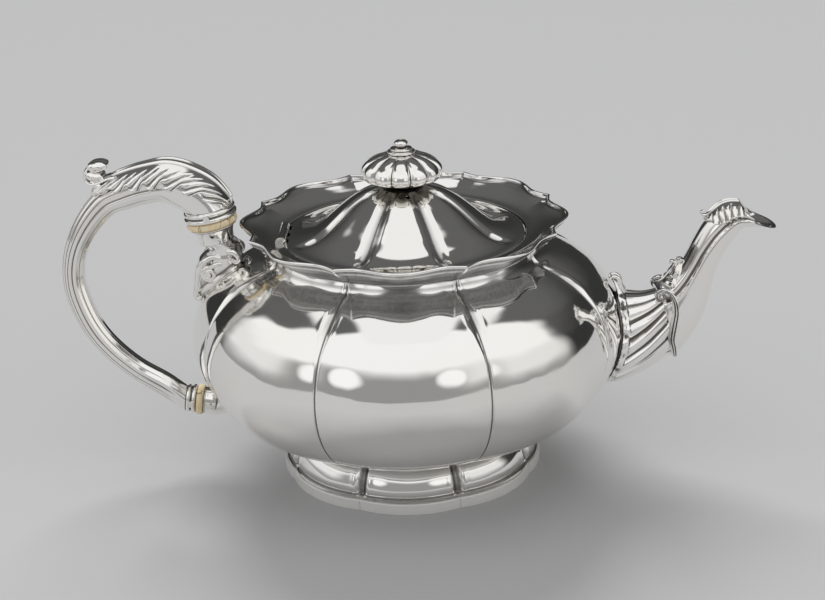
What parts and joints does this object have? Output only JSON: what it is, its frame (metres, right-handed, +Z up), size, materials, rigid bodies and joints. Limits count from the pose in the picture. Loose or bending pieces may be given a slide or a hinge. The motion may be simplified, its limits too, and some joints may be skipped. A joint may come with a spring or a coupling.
{
  "type": "teapot",
  "caption": "Lobed melon-shaped silver teapot on a spreading foot, with hinged lid, melon finial, leaf-capped spout and scroll handle on cream insulating discs.",
  "frame": {"origin": "centre of the foot's underside", "axes": "+Z up through the finial, +X towards the spout, -X towards the handle"},
  "size_m": [0.2844, 0.1732, 0.1359],
  "materials": {
    "polished_silver": "polished",
    "cast_ornament": "polished with darkened hollows",
    "plain_silver": "satin",
    "ivory": "waxed, cracked"
  },
  "bodies": {
    "pot": {"body": "polished_silver", "foot": "polished_silver", "foot_band": "cast_ornament", "rim_border": "polished_silver", "strainer": "plain_silver", "spout_root": "polished_silver", "spout_neck": "polished_silver", "spout_scrolls": "cast_ornament", "spout_leaf": "cast_ornament", "upper_socket": "polished_silver", "upper_socket_mount": "cast_ornament", "lower_socket": "polished_silver", "lower_socket_mount": "cast_ornament", "upper_insulator": "ivory", "lower_insulator": "ivory", "upper_ferrule": "polished_silver", "lower_ferrule": "polished_silver", "handle_tube": "polished_silver", "handle_leaf": "cast_ornament", "thumb_scroll": "cast_ornament", "handle_pins": "plain_silver", "hinge_rim_knuckles": "plain_silver", "hinge_pin": "plain_silver"},
    "lid": {"lid": "polished_silver", "lid_bezel": "plain_silver", "finial_stem": "cast_ornament", "finial": "polished_silver", "finial_button": "cast_ornament", "finial_stud": "plain_silver", "finial_washer": "plain_silver", "finial_nut": "plain_silver", "hinge_lid_knuckles": "plain_silver"}
  },
  "joints": [
    {"name": "lid_hinge", "type": "hinge", "parent": "pot", "child": "lid", "pos_m": [-0.0482, 0, 0.0984], "axis": [0, -1, 0], "range_deg": [0, 92]}
  ]
}
